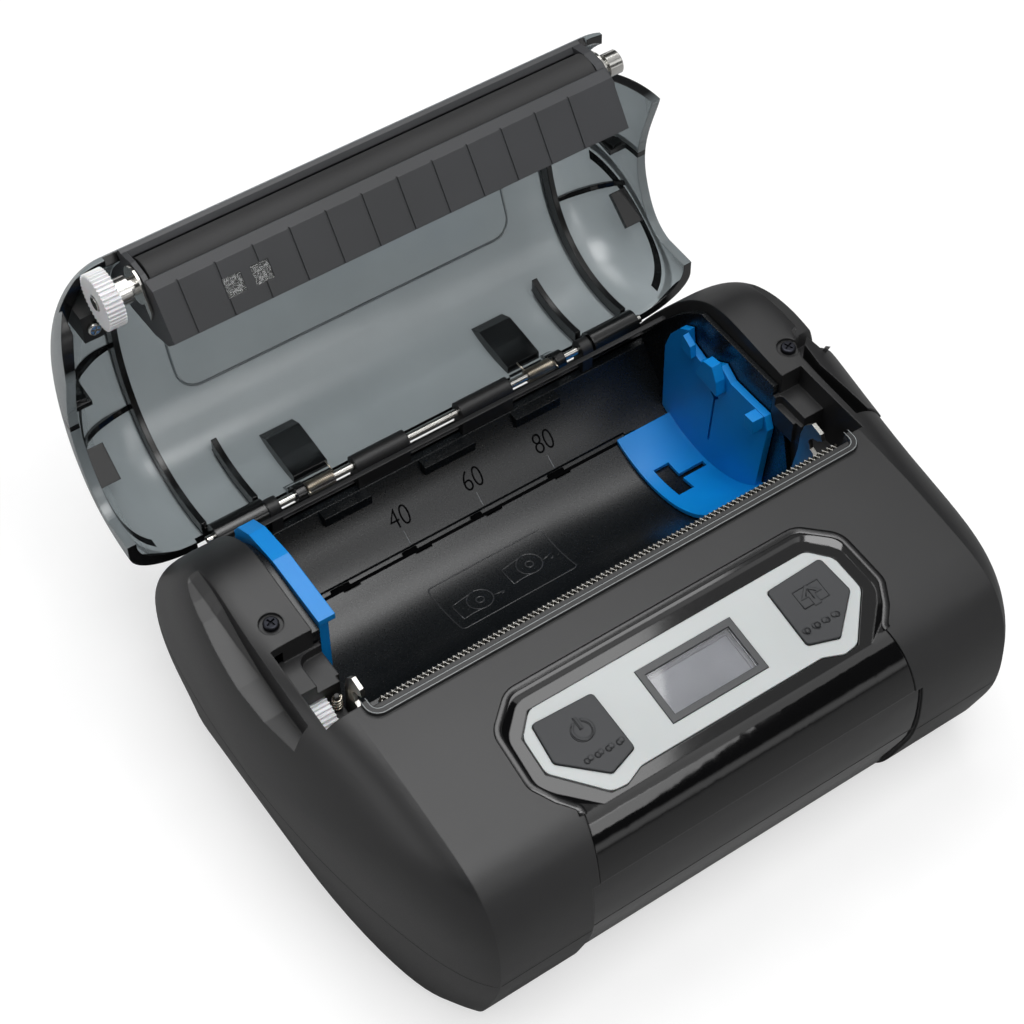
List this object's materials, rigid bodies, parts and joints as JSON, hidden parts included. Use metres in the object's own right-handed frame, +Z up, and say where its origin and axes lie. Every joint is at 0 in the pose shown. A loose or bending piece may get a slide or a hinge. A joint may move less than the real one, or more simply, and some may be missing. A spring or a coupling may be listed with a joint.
{
  "type": "portable thermal printer",
  "caption": "Hand-sized thermal label printer standing with its smoked lid open over a paper bay with two blue guides, with a sloped control panel, two buttons and a small display in front.",
  "frame": {"origin": "middle of the case's flat underside", "axes": "+X to the printer's right seen from the front, +Y towards the back, +Z up; the control panel faces the front, -Y"},
  "size_m": [0.16, 0.1642, 0.1063],
  "materials": {
    "case_plastic": "fine sparked texture",
    "base_plastic": "fine sparked texture",
    "piano_plastic": "high gloss",
    "panel_plastic": "satin",
    "bezel_plastic": "satin",
    "window_plastic": "polished",
    "lens_plastic": "polished",
    "display_glass": "satin",
    "circuit_board": "solder mask",
    "chip_resin": "moulded",
    "button_plastic": "satin",
    "bay_plastic": "satin",
    "guide_plastic": "satin",
    "smoked_plastic": "polished smoked",
    "nylon": "natural",
    "roller_rubber": "ground",
    "foot_rubber": "moulded",
    "bright_steel": "polished",
    "sheet_steel": "cold rolled",
    "spring_steel": "drawn",
    "black_steel": "blackened",
    "sink_metal": "milled",
    "head_ceramic": "glazed",
    "motor_steel": "plated",
    "brass_pinion": "cut",
    "cell_wrap": "shrink film",
    "socket_metal": "tinned"
  },
  "bodies": {
    "case": {"upper_case": "case_plastic", "lower_case": "base_plastic", "gloss_insert": "piano_plastic", "control_panel": "panel_plastic", "display_frame": "bezel_plastic", "display_window": "window_plastic", "display_module": "display_glass", "button_board": "circuit_board", "key_switches": "chip_resin", "paper_bay": "bay_plastic", "guide_left": "guide_plastic", "tear_bar": "sheet_steel", "head_pivot_pin": "bright_steel", "head_bracket": "black_steel", "head_springs": "spring_steel", "feed_motor": "motor_steel", "gear_posts": "bright_steel", "latch_spring": "spring_steel", "spring_peg": "bezel_plastic", "hinge_pin": "bright_steel", "torsion_spring_left": "spring_steel", "torsion_spring_right": "spring_steel", "main_board": "circuit_board", "board_chips": "chip_resin", "battery_pack": "cell_wrap", "battery_cover": "base_plastic", "dc_jack": "chip_resin", "data_socket": "socket_metal", "rubber_feet": "foot_rubber", "case_screws": "black_steel"},
    "lid": {"lid_shell": "smoked_plastic", "spring_tabs": "smoked_plastic", "lid_bracket": "chip_resin", "lid_screws": "bright_steel", "platen_holder": "bezel_plastic", "sensor_windows": "lens_plastic", "sensor_board": "circuit_board", "bearing_clip_left": "bright_steel", "bearing_clip_right": "bright_steel"},
    "platen": {"platen_shaft": "bright_steel", "platen_roller": "roller_rubber", "platen_bushes": "bright_steel", "platen_gear": "nylon"},
    "sliding_guide": {"guide_right": "guide_plastic"},
    "latch": {"latch_hooks": "sheet_steel", "hook_shaft": "bright_steel", "release_lever": "bezel_plastic"},
    "print_head": {"thermal_head": "head_ceramic", "head_heat_sink": "sink_metal"},
    "motor_rotor": {"motor_shaft": "bright_steel", "motor_pinion": "brass_pinion"},
    "reduction": {"reduction_gear": "nylon"},
    "idler": {"idler_gear": "nylon"},
    "power_key": {"power_button": "button_plastic"},
    "feed_key": {"feed_button": "button_plastic"}
  },
  "joints": [
    {"name": "lid_hinge", "type": "hinge", "parent": "case", "child": "lid", "pos_m": [0, 0.0572, 0.0357], "axis": [1, 0, 0], "range_deg": [0, 91.5], "stiffness_Nm_per_rad": 0.02, "springref_deg": -11.46, "deforming": ["torsion_spring_left", "torsion_spring_right"]},
    {"name": "platen_spin", "type": "hinge", "parent": "lid", "child": "platen", "pos_m": [0, 0.07559, 0.09994], "axis": [1, 0, 0], "continuous": true},
    {"name": "idler_spin", "type": "hinge", "parent": "case", "child": "idler", "pos_m": [-0.0648, -0.00039, 0.04261], "axis": [1, 0, 0], "continuous": true},
    {"name": "reduction_spin", "type": "hinge", "parent": "case", "child": "reduction", "pos_m": [-0.0667, -0.00561, 0.03516], "axis": [1, 0, 0], "continuous": true},
    {"name": "motor_spin", "type": "hinge", "parent": "case", "child": "motor_rotor", "pos_m": [-0.0654, -0.01346, 0.02731], "axis": [1, 0, 0], "continuous": true},
    {"name": "latch_release", "type": "hinge", "parent": "case", "child": "latch", "pos_m": [0, -0.004, 0.034], "axis": [1, 0, 0], "range_deg": [-8, 0], "stiffness_Nm_per_rad": 0.3, "springref_deg": 2.86, "deforming": ["latch_spring"]},
    {"name": "head_rock", "type": "hinge", "parent": "case", "child": "print_head", "pos_m": [0, -0.018, 0.038], "axis": [1, 0, 0], "range_deg": [0, 2], "stiffness_Nm_per_rad": 0.6, "springref_deg": -5.73, "deforming": ["head_springs"]},
    {"name": "guide_slide", "type": "slide", "parent": "case", "child": "sliding_guide", "axis": [1, 0, 0], "range_m": [-0.072, 0]},
    {"name": "power_press", "type": "slide", "parent": "case", "child": "power_key", "axis": [0, 0.1461, -0.9893], "range_m": [0, 0.0006], "stiffness_N_per_m": 300, "springref_m": -0.0003},
    {"name": "feed_press", "type": "slide", "parent": "case", "child": "feed_key", "axis": [0, 0.1461, -0.9893], "range_m": [0, 0.0006], "stiffness_N_per_m": 300, "springref_m": -0.0003}
  ],
  "couplings": [
    {"joint": "idler_spin", "follows": "platen_spin", "ratio": -1},
    {"joint": "reduction_spin", "follows": "platen_spin", "ratio": 2},
    {"joint": "motor_spin", "follows": "platen_spin", "ratio": -5.3333}
  ]
}
